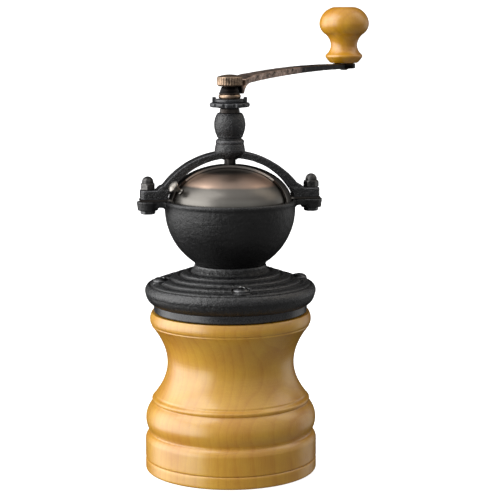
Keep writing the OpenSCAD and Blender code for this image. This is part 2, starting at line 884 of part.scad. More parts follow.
module burr_clip() {
    clip_r = journal_r + 2;
    groove_r = journal_r - 0.45;
    color(steel)
        difference() {
            rod(journal_z - 0.72, 0.64, clip_r);
            rod(journal_z - 2, 4, groove_r);
            translate([0, -groove_r * 0.8, journal_z - 2])
                cube([clip_r + 1, groove_r * 1.6, 4]);
        }
}

module crank_washer() {
    washer_r = 5.8;
    color(bronze)
        rotate_extrude()
            polygon(concat(
                [[bore_r, washer_z], [washer_r - 0.4, washer_z]],
                arc([washer_r - 0.4, washer_z], [washer_r - 0.4, washer_z + washer_t - 0.1], -0.4, 6),
                [[bore_r, washer_z + washer_t - 0.1]]
            ));
}

// Side view of the riser and the arm: [distance from the spindle, height]
function arm_profile() =
    let (
        far = eye_s - 8,
        riser_s = nut_d / 2 + 0.7,
        under = hub_z + 5.2,
        over = under + 4.2
    )
    concat(
        [[bore_r + 0.4, hub_z], [5.9, hub_z]],
        arc([5.9, hub_z], [riser_s + 6, under], 1.4, 6),
        arc([riser_s + 6, under], [far, arm_z], 1.1, 8),
        [[far, arm_z + eye_t]],
        arc([far, arm_z + eye_t], [riser_s + 10, over], -1.2, 8),
        [[riser_s, over - 1.9], [riser_s, hub_z + hub_h + 0.1], [bore_r + 0.4, hub_z + hub_h]]
    );

// Top view of the arm: wide at its root, narrower towards the eye
function arm_plan() =
    [[0, -5.3], [12, -5.3], [26, -4.5], [eye_s, -3.7], [eye_s, 3.7], [26, 4.5], [12, 5.3], [0, 5.3]];

module crank_arm() {
    end_r = 6.6;
    hub_r = 5.9;
    color(bronze)
        rotate([0, 0, crank_turn])
            difference() {
                union() {
                    intersection() {
                        translate([0, 10, 0])
                            rotate([90, 0, 0])
                                linear_extrude(height = 20)
                                    polygon(arm_profile());
                        translate([0, 0, hub_z - 1])
                            linear_extrude(height = 40)
                                polygon(arm_plan());
                    }
                    translate([eye_s, 0, 0])
                        rod(arm_z, eye_t, end_r);
                    translate([eye_s - 9, -3.8, arm_z])
                        cube([6, 7.6, eye_t]);
                    rotate_extrude()
                        polygon([
                            [0, hub_z], [hub_r, hub_z], [hub_r - 0.4, hub_z + 0.9],
                            [hub_r - 0.9, hub_z + 1.2], [hub_r - 0.9, hub_z + 1.9],
                            [4.1, hub_z + hub_h], [0, hub_z + hub_h]
                        ]);
                }
                rod(hub_z - 1, hub_h + 2, bore_r);
                translate([eye_s, 0, 0])
                    rod(arm_z - 1, eye_t + 2, pin_r + seat);
            }
}

module crank_nut() {
    nut_r = nut_d / 2;
    knurl_r = 0.35;
    color(bronze)
        difference() {
            rotate_extrude()
                polygon(concat(
                    [[0, nut_z], [nut_r - 0.9, nut_z], [nut_r, nut_z + 0.8], [nut_r, nut_z + nut_h - 1.7]],
                    arc([nut_r, nut_z + nut_h - 1.7], [nut_r - 1, nut_z + nut_h - 0.9], -0.25, 3),
                    arc([nut_r - 1, nut_z + nut_h - 0.9], [0, nut_z + nut_h], -0.25, 6)
                ));
            rod(nut_z - 1, nut_h - 1, bore_r);
            ring_of(knurl_count)
                translate([nut_r + 0.12, 0, 0])
                    rod(nut_z - 1, nut_h + 2, knurl_r);
        }
}

module knob_pin() {
    color(steel)
        rotate([0, 0, crank_turn])
            translate([eye_s, 0, 0]) {
                rod(arm_z - 0.8, 0.8, pin_r - 0.4, pin_r + 0.9);
                rod(arm_z, knob_z + knob_h - 2 - arm_z, pin_r);
                rod(knob_z + knob_h - 2, 1.2, pin_r + 1.6);
            }
}

// The knob's outline from its flared foot to the flat on its crown
function knob_outline() =
    let (
        k = knob_z,
        neck = [knob_r * 0.53, k + knob_h * 0.3],
        belly = [knob_r, k + knob_h * 0.71],
        bend = [knob_r * 0.81, k + knob_h * 0.53],
        flare = knob_r * 0.74
    )
    concat(
        [[pin_r + fit, k], [knob_r * 0.54, k]],
        arc([knob_r * 0.54, k], [flare, k + 3.3], -0.2, 4),
        arc([flare, k + 3.3], [flare - 0.5, k + 5], -0.35, 4),
        arc([flare - 0.5, k + 5], neck, 0.45, 6),
        arc(neck, bend, 1.1, 8),
        arc(bend, belly, -0.7, 7),
        arc(belly, [6, k + knob_h], -2.1, 12)
    );

module knob_handle() {
    head_r = pin_r + 1.6;
    color(wood)
        rotate([0, 0, crank_turn])
            translate([eye_s, 0, 0])
                rotate_extrude()
                    polygon(concat(
                        knob_outline(),
                        [[head_r + air, knob_z + knob_h], [head_r + air, knob_z + knob_h - 2 - air],
                         [pin_r + fit, knob_z + knob_h - 2 - air]]
                    ));
}

jar_body();
base_disc();
mouth_ring();
mouth_ring_screws();
hopper_bowl();
flange_casting();
screw_ring();
flange_screws();
outer_burr();
burr_bridge();
bridge_screws();
lower_bush();
rear_dome();
yoke();
yoke_bolts();
cap_nuts();
upper_bush();
lid_dome();
lid_knob();
adjusting_wheel();
lock_plate();
spindle_shaft();
inner_burr();
burr_clip();
crank_washer();
crank_arm();
crank_nut();
knob_pin();
knob_handle();
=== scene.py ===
import math

import bpy
import bmesh
import numpy as np
from mathutils import Matrix, Vector


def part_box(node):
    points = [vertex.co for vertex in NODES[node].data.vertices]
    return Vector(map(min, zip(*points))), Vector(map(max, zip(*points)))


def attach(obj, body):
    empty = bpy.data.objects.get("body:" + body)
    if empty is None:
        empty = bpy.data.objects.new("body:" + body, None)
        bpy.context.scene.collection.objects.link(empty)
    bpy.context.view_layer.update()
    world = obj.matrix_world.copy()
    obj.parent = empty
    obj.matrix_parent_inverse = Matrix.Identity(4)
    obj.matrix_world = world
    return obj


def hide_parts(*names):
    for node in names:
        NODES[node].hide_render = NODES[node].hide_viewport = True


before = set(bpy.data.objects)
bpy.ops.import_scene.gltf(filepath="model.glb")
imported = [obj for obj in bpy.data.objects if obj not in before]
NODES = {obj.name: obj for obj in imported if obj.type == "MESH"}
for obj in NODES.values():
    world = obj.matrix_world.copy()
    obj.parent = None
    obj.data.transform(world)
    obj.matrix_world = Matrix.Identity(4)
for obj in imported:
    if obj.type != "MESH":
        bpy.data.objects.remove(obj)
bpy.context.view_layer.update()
MM = 0.001
COARSE = 1.0

SEAM = 2e-6         # vertices of a CAD mesh that are nearer than this are one, in metres
ON_AXIS = 1e-6      # a point of an outline that is nearer to its axis than this lies on it
ON_PLANE = 1e-8     # a vertex that is nearer to a cutting plane than this lies on it
TINY = 1e-7         # an edge shorter than this has no length

HEAD_TURN = math.radians(8.5)       # of the head, with its ears and yoke, about the spindle
DOOR_TURN = math.radians(-9.5)      # of the rear dome's door, from the front of the head
CRANK_TURN = 58.5                   # direction of the crank at rest, in degrees

pin_low, pin_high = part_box("knob_pin")
SPINDLE = Vector((0, 0, 0))
AXIS_OF = {"knob_handle": Vector(((pin_low.x + pin_high.x) / 2, (pin_low.y + pin_high.y) / 2, 0))}


# ---------------------------------------------------------------- meshes

def new_object(name, data):
    ob = bpy.data.objects.new(name, data)
    bpy.context.scene.collection.objects.link(ob)
    return ob


def shade(mesh, flat_above=None):
    """Smooth shading, but for edges that fold by more than flat_above degrees."""
    mesh.polygons.foreach_set("use_smooth", [True] * len(mesh.polygons))
    if flat_above is not None:
        mesh.set_sharp_from_angle(angle=math.radians(flat_above))


def mesh_from(name, verts, faces):
    me = bpy.data.meshes.new(name)
    me.from_pydata([tuple(v) for v in verts], [], [tuple(f) for f in faces])
    me.update()
    return me


def welded(node):
    """A copy of a CAD node's mesh with its seams closed."""
    me = NODES[node].data.copy()
    bm = bmesh.new()
    bm.from_mesh(me)
    bmesh.ops.remove_doubles(bm, verts=bm.verts, dist=SEAM)
    bmesh.ops.dissolve_degenerate(bm, edges=bm.edges, dist=TINY)
    bm.to_mesh(me)
    bm.free()
    return me


def positions(me):
    co = np.zeros(len(me.vertices) * 3)
    me.vertices.foreach_get("co", co)
    return co.reshape(-1, 3)


def normals(me):
    no = np.zeros(len(me.vertices) * 3)
    me.vertices.foreach_get("normal", no)
    return no.reshape(-1, 3)


def edges_of(me):
    e = np.zeros(len(me.edges) * 2, np.int64)
    me.edges.foreach_get("vertices", e)
    return e.reshape(-1, 2)


def move(me, co):
    me.vertices.foreach_set("co", co.ravel())
    me.update()


def averaged(co, e, rounds):
    """Each round takes each point halfway to the mean of its neighbours."""
    n = len(co)
    a, b = e[:, 0], e[:, 1]
    count = np.maximum(np.bincount(a, minlength=n) + np.bincount(b, minlength=n), 1)
    for _ in range(rounds):
        mean = np.empty_like(co)
        for k in range(3):
            mean[:, k] = np.bincount(a, co[b, k], n) + np.bincount(b, co[a, k], n)
        co = co + 0.5 * (mean / count[:, None] - co)
    return co


def lumps(co, size, seed):
    """Smooth noise from -1 to 1 made of a few crossed waves, the same on every run."""
    octaves, waves, finer, fainter = 3, 7, 1.9, 1.7
    rng = np.random.default_rng(seed)
    out = np.zeros(len(co))
    for octave in range(octaves):
        scale = 2 * math.pi / (size * MM) * finer ** octave
        part = np.zeros(len(co))
        for _ in range(waves):
            d = rng.normal(size=3)
            d /= np.linalg.norm(d)
            phase = rng.uniform(0, 6.283)
            part += np.sin(co @ (d * scale) + phase)
        out += part / waves / fainter ** octave
    return np.clip(out, -1, 1)


def depths(me, co, rounds):
    """How far each point lies below its surroundings; rounds sets how wide those are."""
    return np.einsum("ij,ij->i", averaged(co, edges_of(me), rounds) - co, normals(me))


# The attribute marks ridges and hollows; materials use it for real wear and also for painted
# highlights and painted shade.
def store_wear_and_shading(me, rounds, full):
    """Attribute wear: above 0 on ridges, below 0 in hollows, and 1 on a ridge full mm high."""
    wear_and_shading = np.clip(-depths(me, positions(me), rounds) / (full * MM), -1, 1)
    at = me.attributes.new("wear_and_shading", "FLOAT", "POINT")
    at.data.foreach_set("value", wear_and_shading.astype(np.float32))


def soften(name, node, voxel, rounds, wear_and_shading, spread=6, lump=0.0, lump_size=3.0, seed=1,
           deepen=0.0):
    """A finely meshed copy of a CAD node with worn, rounded edges. Its skin sinks unevenly by up to
    lump mm and its hollows by up to deepen mm. wear is how high a ridge is, in mm, when it counts
    in full, and spread sets how wide one may be."""
    me = welded(node)
    ob = new_object(name + "_source", me)
    mod = ob.modifiers.new("voxels", "REMESH")
    mod.mode = "VOXEL"
    mod.voxel_size = voxel * MM * COARSE
    mod.use_smooth_shade = True
    bpy.context.view_layer.update()
    graph = bpy.context.evaluated_depsgraph_get()
    fine = bpy.data.meshes.new_from_object(ob.evaluated_get(graph))
    bpy.data.objects.remove(ob)
    bpy.data.meshes.remove(me)
    fine.name = name
    co = averaged(positions(fine), edges_of(fine), rounds)
    move(fine, co)
    if lump:
        sink = (lumps(co, lump_size, seed) - 1) * 0.5 * lump * MM
        co = co + normals(fine) * sink[:, None]
        move(fine, co)
    if deepen:
        sink = np.minimum(0, -depths(fine, co, spread)) / (wear_and_shading * MM)
        co = co + normals(fine) * (np.maximum(sink, -1) * deepen * MM)[:, None]
        move(fine, co)
    store_wear_and_shading(fine, spread, wear_and_shading)
    shade(fine)
    return new_object(name, fine)


def section(node, azimuth):
    """The outline of a CAD node on the half plane at azimuth from its axis, as (radius, height)."""
    me = welded(node)
    bm = bmesh.new()
    bm.from_mesh(me)
    side = Vector((-math.sin(azimuth), math.cos(azimuth), 0))
    out = Vector((math.cos(azimuth), math.sin(azimuth), 0))
    centre = AXIS_OF.get(node, SPINDLE)
    everything = bm.verts[:] + bm.edges[:] + bm.faces[:]
    cut = bmesh.ops.bisect_plane(bm, geom=everything, dist=ON_PLANE, plane_co=centre,
                                 plane_no=side, clear_inner=True, clear_outer=True)
    links = {}
    for ed in [g for g in cut["geom_cut"] if isinstance(g, bmesh.types.BMEdge)]:
        a, b = ed.verts
        if min((a.co - centre).dot(out), (b.co - centre).dot(out)) > -TINY:
            links.setdefault(a, []).append(b)
            links.setdefault(b, []).append(a)
    loops = []
    left = set(links)
    while left:
        ends = [v for v in left if len(links[v]) == 1]
        v = min(ends or left, key=lambda q: (q.co.z, q.co.x))
        chain = [v]
        left.discard(v)
        while True:
            ahead = [w for w in links[chain[-1]] if w in left]
            if not ahead:
                break
            chain.append(ahead[0])
            left.discard(ahead[0])
        loops.append([((q.co - centre).dot(out), q.co.z) for q in chain])
    bm.free()
    bpy.data.meshes.remove(me)
    return max(loops, key=len)


def rounded(points, closed, corner):
    """Cuts each corner of an outline by at most corner mm, so that arcs turn smooth and edges get a
    small radius."""
    passes = 2
    pts = [np.array(p, float) for p in points]
    for k in range(passes):
        size = corner * MM / 2 ** k
        out = []
        n = len(pts)
        for i in range(n):
            a, p, b = pts[i - 1], pts[i], pts[(i + 1) % n]
            if not closed and i in (0, n - 1):
                out.append(p)
                continue
            la, lb = np.linalg.norm(a - p), np.linalg.norm(b - p)
            if la < TINY or lb < TINY:
                continue
            out.append(p + (a - p) * min(0.25, size / la))
            out.append(p + (b - p) * min(0.25, size / lb))
        pts = out
    return pts


def filled(points, closed, longest):
    """Adds points so that no piece of the outline is longer than longest mm."""
    out = []
    n = len(points)
    for i in range(n if closed else n - 1):
        a, b = points[i], points[(i + 1) % n]
        parts = max(1, int(math.ceil(np.linalg.norm(b - a) / (longest * MM))))
        out += [a + (b - a) * (j / parts) for j in range(parts)]
    return out if closed else out + [points[-1]]


def incised(outline, cuts):
    """Sinks fine round lines into an outline's outside. Each cut is (height, depth, half width) in
    mm."""
    outside, margin, step = 30.0, 0.8, 0.25
    out = [outline[0]]
    for a, b in zip(outline, outline[1:]):
        close = any(min(abs(a[1] / MM - at), abs(b[1] / MM - at)) < half + margin
                    for at, _, half in cuts)
        parts = 1
        if close and a[0] > outside * MM:
            parts = int(math.ceil(math.dist(a, b) / (step * MM)))
        for j in range(1, parts + 1):
            r, z = (p + (q - p) * j / parts for p, q in zip(a, b))
            for at, depth, half in cuts:
                off = abs(z / MM - at) / half
                if off < 1 and r > outside * MM:
                    r -= depth * MM * (0.5 + 0.5 * math.cos(math.pi * off))
            out.append((r, z))
    return out


def lathe(name, outline, steps, closed, centre, wear_and_shading):
    """Turns an outline about a vertical axis; points on the axis become one vertex."""
    steps = int(steps / COARSE)
    verts, rows = [], []
    for r, z in outline:
        if r < ON_AXIS:
            rows.append([len(verts)] * steps)
            verts.append((centre.x, centre.y, z))
            continue
        rows.append(list(range(len(verts), len(verts) + steps)))
        verts += [(centre.x + r * math.cos(t), centre.y + r * math.sin(t), z)
                  for t in (2 * math.pi * k / steps for k in range(steps))]
    faces = []
    count = len(rows)
    for i in range(count if closed else count - 1):
        a, b = rows[i], rows[(i + 1) % count]
        for k in range(steps):
            m = (k + 1) % steps
            quad = [a[k], a[m], b[m], b[k]]
            face = [v for j, v in enumerate(quad) if v != quad[j - 1]]
            if len(face) > 2:
                faces.append(face)
    me = mesh_from(name, verts, faces)
    bm = bmesh.new()
    bm.from_mesh(me)
    bmesh.ops.recalc_face_normals(bm, faces=bm.faces)
    bm.to_mesh(me)
    bm.free()
    store_wear_and_shading(me, 5, wear_and_shading)
    shade(me, 35)
    return new_object(name, me)


def turned(name, node, azimuth, steps, corner, longest, wear_and_shading, cuts=()):
    """A smooth turning of a CAD node's own section, taken at an azimuth in radians."""
    inside = 0.9999     # keeps the turning within the CAD node's own box
    pts = section(node, azimuth)
    closed = not (pts[0][0] < ON_AXIS and pts[-1][0] < ON_AXIS)
    smooth = filled(rounded(pts, closed, corner), closed, longest)
    outline = incised([(r * inside, z) for r, z in smooth], cuts)
    return lathe(name, outline, steps, closed, AXIS_OF.get(node, SPINDLE), wear_and_shading)


# ---------------------------------------------------------------- materials

class Nodes:
    """Short names for building a node tree."""

    def __init__(self, tree):
        self.nt = tree

    def put(self, socket, value):
        if isinstance(value, bpy.types.NodeSocket):
            self.nt.links.new(value, socket)
        else:
            socket.default_value = value

    def add(self, kind, inputs, **settings):
        n = self.nt.nodes.new("ShaderNode" + kind)
        for k, v in settings.items():
            setattr(n, k, v)
        for k, v in inputs.items():
            self.put(n.inputs[k], v)
        return n

    def math(self, op, a, b=0.0, c=0.0, clamp=False):
        n = self.add("Math", {0: a, 1: b, 2: c}, operation=op, use_clamp=clamp)
        return n.outputs[0]

    def plus(self, a, b, clamp=False):
        return self.math("ADD", a, b, clamp=clamp)

    def minus(self, a, b):
        return self.math("SUBTRACT", a, b)

    def times(self, a, b, clamp=False):
        return self.math("MULTIPLY", a, b, clamp=clamp)

    def over(self, a, b, clamp=False):
        return self.math("DIVIDE", a, b, clamp=clamp)

    def ramp(self, fac, *stops, smooth=False):
        n = self.add("ValToRGB", {"Fac": fac})
        r = n.color_ramp
        r.interpolation = "EASE" if smooth else "LINEAR"
        while len(r.elements) < len(stops):
            r.elements.new(1.0)
        for el, (at, value) in zip(r.elements, stops):
            el.position = at
            el.color = (value, value, value, 1)
        return n.outputs["Color"]


class Material(Nodes):
    """A material's nodes. Coordinates are millimetres in the part's own frame."""

    def __init__(self, name):
        self.mat = bpy.data.materials.new(name)
        self.mat.use_nodes = True
        super().__init__(self.mat.node_tree)
        self.nt.nodes.clear()
        self.out = self.add("OutputMaterial", {})
        coord = self.add("TexCoord", {})
        self.mm = self.vector("SCALE", coord.outputs["Object"], scale=1000.0)

    def vector(self, op, a, b=None, scale=None):
        n = self.add("VectorMath", {0: a}, operation=op)
        if b is not None:
            self.put(n.inputs[1], b)
        if scale is not None:
            self.put(n.inputs["Scale"], scale)
        return n.outputs["Value" if op in ("LENGTH", "DOT_PRODUCT") else "Vector"]

    def stretched(self, x, y, z, at=None):
        return self.vector("MULTIPLY", self.mm if at is None else at, (x, y, z))

    def along(self, x, y, z):
        return self.vector("DOT_PRODUCT", self.mm, (x, y, z))

    def from_axis(self):
        return self.vector("LENGTH", self.stretched(1.0, 1.0, 0.0))

    def noise(self, scale, detail, rough=0.5, at=None):
        n = self.add("TexNoise", {"Vector": self.mm if at is None else at, "Scale": scale,
                                  "Detail": detail, "Roughness": rough})
        return n.outputs["Fac"]

    def cells(self, scale, at=None):
        n = self.add("TexVoronoi", {"Vector": self.mm if at is None else at, "Scale": scale})
        return n.outputs["Distance"]

    def mix(self, fac, a, b):
        n = self.add("Mix", {}, data_type="RGBA", blend_type="MIX", clamp_factor=True)
        self.put(n.inputs[0], fac)
        for k, colour in ((6, a), (7, b)):
            linked = isinstance(colour, bpy.types.NodeSocket)
            self.put(n.inputs[k], colour if linked else (*colour, 1))
        return n.outputs[2]

    def wear_and_shading(self):
        return self.add("Attribute", {}, attribute_name="wear_and_shading").outputs["Fac"]

    def bump(self, height, distance, strength, normal=None):
        n = self.add("Bump", {"Height": height, "Distance": distance * MM, "Strength": strength})
        if normal is not None:
            self.put(n.inputs["Normal"], normal)
        return n.outputs["Normal"]

    def finish(self, **inputs):
        n = self.add("BsdfPrincipled", {})
        for k, v in inputs.items():
            if isinstance(v, tuple) and len(v) == 3:
                v = (*v, 1)
            self.put(n.inputs[k.replace("_", " ")], v)
        self.nt.links.new(n.outputs[0], self.out.inputs["Surface"])
        return self.mat


def brighter(colour, factor, extra=0.0):
    return tuple(min(1, c * factor + extra) for c in colour)


def wood(name, light, dark, heart, pitch, gloss, coat, shine, seed=0.0):
    """Lacquered turned wood with upright grain: growth rings pitch mm apart about heart, pores,
    flecks, and painted shade darkening the hollows. gloss is the wood's roughness, coat the
    lacquer's strength and shine its roughness."""
    t = Material(name)
    shifted = t.vector("ADD", t.mm, (seed, seed * 0.7, seed * 1.3))
    warp = t.noise(0.018, 3.0, 0.5, t.stretched(1.0, 1.0, 0.35, shifted))
    plan = t.stretched(1.0, 1.0, 0.03, t.vector("SUBTRACT", t.mm, heart))
    radius = t.plus(t.vector("LENGTH", plan), t.times(warp, 26.0))
    ring = t.math("FRACT", t.over(radius, pitch))
    ring = t.ramp(ring, (0.0, 0.15), (0.62, 0.35), (0.9, 1.0), (0.97, 0.75), (1.0, 0.15))
    fine = t.noise(1.0, 3.0, 0.6, t.stretched(2.3, 2.3, 0.11, shifted))
    pores = t.noise(1.0, 2.0, 0.6, t.stretched(5.0, 5.0, 0.32, shifted))
    pores = t.ramp(pores, (0.60, 0.0), (0.68, 1.0))
    fleck = t.cells(1.0, t.stretched(1.1, 1.1, 0.28, shifted))
    fleck = t.ramp(fleck, (0.09, 1.0), (0.17, 0.0))
    cloud = t.noise(0.05, 3.0, 0.55, shifted)
    tone = t.plus(t.times(ring, 0.10), t.times(fine, 0.24))
    tone = t.plus(tone, t.times(cloud, 0.64))
    wear_and_shading = t.wear_and_shading()
    hollow = t.times(wear_and_shading, -1.0, clamp=True)
    ridge = t.times(wear_and_shading, 1.0, clamp=True)

    colour = t.mix(t.ramp(tone, (0.34, 0.0), (0.64, 1.0)), light, dark)
    colour = t.mix(t.times(pores, 0.16), colour, (0.16, 0.07, 0.02))
    colour = t.mix(t.times(fleck, 0.17), colour, (0.26, 0.12, 0.035))
    # painted shade: the hollows and grooves are darkened where shade falls
    colour = t.mix(t.times(hollow, 0.9, clamp=True), colour, (0.17, 0.060, 0.010))
    colour = t.mix(t.times(ridge, 0.30, clamp=True), colour, brighter(light, 1.15))
    rough = t.ramp(t.noise(0.4, 4.0, 0.6, shifted), (0.3, gloss - 0.05), (0.7, gloss + 0.08))
    tool_marks = t.noise(1.0, 2.0, 0.5, t.stretched(0.02, 0.02, 3.2, shifted))
    normal = t.bump(pores, 0.05, 0.35)
    normal = t.bump(fine, 0.09, 0.5, normal)
    normal = t.bump(tool_marks, 0.10, 0.5, normal)
    return t.finish(Base_Color=colour, Roughness=rough, Normal=normal, Coat_Weight=coat,
                    Coat_Roughness=shine, Coat_IOR=2.0, Specular_IOR_Level=0.15)


def iron(name, base, lit, grain, gloss, bump, rust=0.0, rub_and_glint=0.8, rub_and_glint_gain=6.0, sheen=0.1,
         crest=0.12, hollow_shade=1.2, glance=0.62):
    """Iron or steel under black paint: pitted skin, mottled sheen, greyer on the ridges. grain is
    the strength of pale specks, rub_and_glint how far the ridges turn grey, rub_and_glint_gain how
    pale they are, sheen how much smoother, and crest how high they have to be. The pale ridges are
    worn paint and also a painted highlight. hollow_shade darkens the hollows as painted shade, and
    glance is the specular level."""
    t = Material(name)
    skin = t.noise(1.35, 5.0, 0.62)
    pits = t.ramp(t.cells(1.5), (0.0, 0.0), (0.42, 1.0), smooth=True)
    broad = t.noise(0.11, 4.0, 0.6)
    coarse = t.noise(0.62, 3.0, 0.65)
    wear_and_shading = t.wear_and_shading()
    ridge = t.ramp(t.times(wear_and_shading, t.plus(skin, 0.5)), (crest, 0.0), (0.75, 1.0))
    hollow = t.times(wear_and_shading, -hollow_shade, clamp=True)
    specks = t.ramp(skin, (0.42, 0.0), (0.70, 1.0))

    colour = t.mix(t.ramp(broad, (0.3, 0.0), (0.72, 1.0)), base, lit)
    colour = t.mix(t.times(specks, grain), colour, brighter(lit, 2.2))
    # painted highlight, partly worn paint: the ridges turn pale grey
    colour = t.mix(t.times(ridge, rub_and_glint), colour, brighter(lit, rub_and_glint_gain, 0.006))
    # painted shade: the hollows darken
    colour = t.mix(hollow, colour, brighter(base, 0.35))
    if rust:
        spots = t.ramp(t.noise(0.35, 5.0, 0.65), (0.60, 0.0), (0.72, 1.0))
        colour = t.mix(t.times(spots, rust), colour, (0.045, 0.026, 0.014))
    mottle = t.plus(t.times(skin, 0.5), t.times(broad, 0.5))
    rough = t.ramp(mottle, (0.38, gloss - 0.10), (0.62, gloss + 0.14))
    worn = t.minus(t.times(hollow, 0.25), t.times(ridge, sheen))
    rough = t.plus(rough, worn, clamp=True)
    normal = t.bump(skin, bump, 0.6)
    normal = t.bump(pits, bump * 0.6, 0.35, normal)
    normal = t.bump(coarse, bump * 1.6, 0.7, normal)
    return t.finish(Base_Color=colour, Roughness=rough, Normal=normal, Specular_IOR_Level=glance)


def metal(name, clean, tarnish, spread, gloss, edge=0.5, edge_colour=None, bump=0.05, far=None):
    """Bare metal with uneven tarnish, fine scratches and edges worn bright. A low spread leaves
    more of it tarnished. far = (azimuth, start, end) in degrees and mm is the stretch of the crank
    over which it turns wholly dark: painted shade beyond the copper highlight, partly tarnish."""
    t = Material(name)
    cloud = t.noise(0.28, 5.0, 0.62)
    spots = t.noise(1.3, 4.0, 0.65)
    blotch = t.plus(t.times(cloud, 0.7), t.times(spots, 0.3))
    dirty = t.ramp(blotch, (spread - 0.12, 0.0), (spread + 0.12, 1.0))
    shown = edge
    # painted shade, partly tarnish: the crank's far stretch and its hub turn dark and lose their
    # bright edges
    if far:
        azimuth, start, end = math.radians(far[0]), far[1], far[2]
        hub_r, fade = 6.5, 2.5      # the hub is dark too, and the arm brightens over fade
        out = t.along(math.cos(azimuth), math.sin(azimuth), 0.0)
        out = t.plus(out, t.times(t.minus(cloud, 0.5), 26.0))
        away = t.over(t.minus(out, start), end - start, clamp=True)
        near = t.minus(1.0, t.over(t.minus(t.from_axis(), hub_r), fade, clamp=True))
        away = t.math("MAXIMUM", away, near)
        dirty = t.math("MAXIMUM", dirty, away)
        shown = t.times(t.minus(1.0, t.times(away, 0.75)), edge)
    wear_and_shading = t.wear_and_shading()
    ridge = t.ramp(t.times(wear_and_shading, t.plus(spots, 0.6)), (0.08, 0.0), (0.6, 1.0))
    hollow = t.times(wear_and_shading, -1.3, clamp=True)

    colour = t.mix(dirty, clean, tarnish)
    colour = t.mix(t.times(ridge, shown), colour, edge_colour or brighter(clean, 1.6))
    colour = t.mix(hollow, colour, brighter(tarnish, 0.3))
    scratches = t.noise(1.0, 2.0, 0.5, t.stretched(0.6, 0.6, 9.0))
    rough = t.ramp(blotch, (0.3, gloss), (0.7, gloss + 0.16))
    rough = t.plus(rough, t.times(scratches, 0.12))
    normal = t.bump(scratches, 0.02, 0.4)
    normal = t.bump(spots, bump, 0.5, normal)
    return t.finish(Base_Color=colour, Roughness=rough, Normal=normal, Metallic=1.0)


def smoked(name, shown=1.0):
    """Polished metal smoked to a brown mirror, with reflections painted into its colour: a painted
    coppery reflection at half height, lighter on the left as a painted highlight, painted dark
    reflections at the crown and the sides, a painted pale reflection at the foot, and a painted
    highlight along the door's edge. Where shown is below 1 the colours sink into painted shade."""
    foot_z, height, dome_r = 141.0, 20.0, 32.0
    t = Material(name)
    cloud = t.noise(0.05, 4.0, 0.55)
    fine = t.noise(0.9, 4.0, 0.6)
    streak = t.noise(1.0, 3.0, 0.6, t.stretched(0.05, 0.05, 0.8))
    x = t.along(1.0, 0.0, 0.0)
    z = t.along(0.0, 0.0, 1.0)
    up = t.over(t.minus(z, foot_z), height)
    up = t.plus(up, t.times(t.minus(cloud, 0.5), 0.10))
    # painted reflection: a coppery band at half height, across the middle of the dome
    painted_reflection_belt = t.ramp(up, (0.48, 0.0), (0.56, 1.0), (0.78, 1.0), (0.86, 0.0), smooth=True)
    wide = t.over(t.math("ABSOLUTE", x), dome_r)
    wide = t.ramp(wide, (0.10, 0.55), (0.40, 1.0), (0.66, 1.0), (0.82, 0.0))
    # painted highlight: the left side is lighter, where the key light falls
    lit = t.ramp(t.plus(t.over(x, 60.0), 0.5), (0.16, 1.0), (0.55, 0.0))
    # painted reflection: dark at the crown
    painted_dark_crown = t.ramp(up, (0.79, 0.0), (0.88, 0.86), smooth=True)
    # painted reflection: pale at the foot
    foot = t.ramp(up, (0.17, 1.0), (0.30, 0.0), smooth=True)
    # painted shade: darker towards both sides, the dark reflection at the dome's edges
    across = t.plus(t.over(x, 2 * dome_r), 0.5)
    painted_dark_sides = t.ramp(across, (0.27, 0.62), (0.36, 0.52), (0.45, 0.05), (0.66, 0.0), (0.75, 0.35),
                  (0.83, 0.62))
    # painted highlight along the rear dome's door edge, kept off the ears
    painted_edge_highlight = t.ramp(t.over(t.from_axis(), 40.0), (0.81, 1.0), (0.84, 0.1))
    painted_edge_highlight = t.times(t.wear_and_shading(), painted_edge_highlight, clamp=True)

    colour = t.mix(t.ramp(cloud, (0.3, 0.0), (0.7, 1.0)), (0.150, 0.139, 0.126),
                   (0.112, 0.103, 0.090))
    colour = t.mix(t.times(streak, 0.35), colour, (0.12, 0.108, 0.092))
    # painted reflection: the foot turns pale
    colour = t.mix(t.times(foot, 0.7), colour, (0.26, 0.25, 0.225))
    colour = t.mix(painted_dark_sides, colour, (0.028, 0.026, 0.023))
    # painted reflection, lighter on the left as a painted highlight
    painted_copper_reflection = t.mix(lit, (0.42, 0.27, 0.195), (0.82, 0.57, 0.43))
    colour = t.mix(t.times(painted_reflection_belt, wide), colour, painted_copper_reflection)
    colour = t.mix(painted_dark_crown, colour, (0.055, 0.040, 0.032))
    # painted shade: the rear dome's colours sink towards black
    colour = t.mix(1.0 - shown, colour, (0.030, 0.024, 0.020))
    colour = t.mix(painted_edge_highlight, colour, (0.52, 0.49, 0.45))
    rough = t.ramp(fine, (0.3, 0.31), (0.75, 0.38))
    return t.finish(Base_Color=colour, Roughness=rough, Normal=t.bump(fine, 0.01, 0.3),
                    Metallic=1.0)


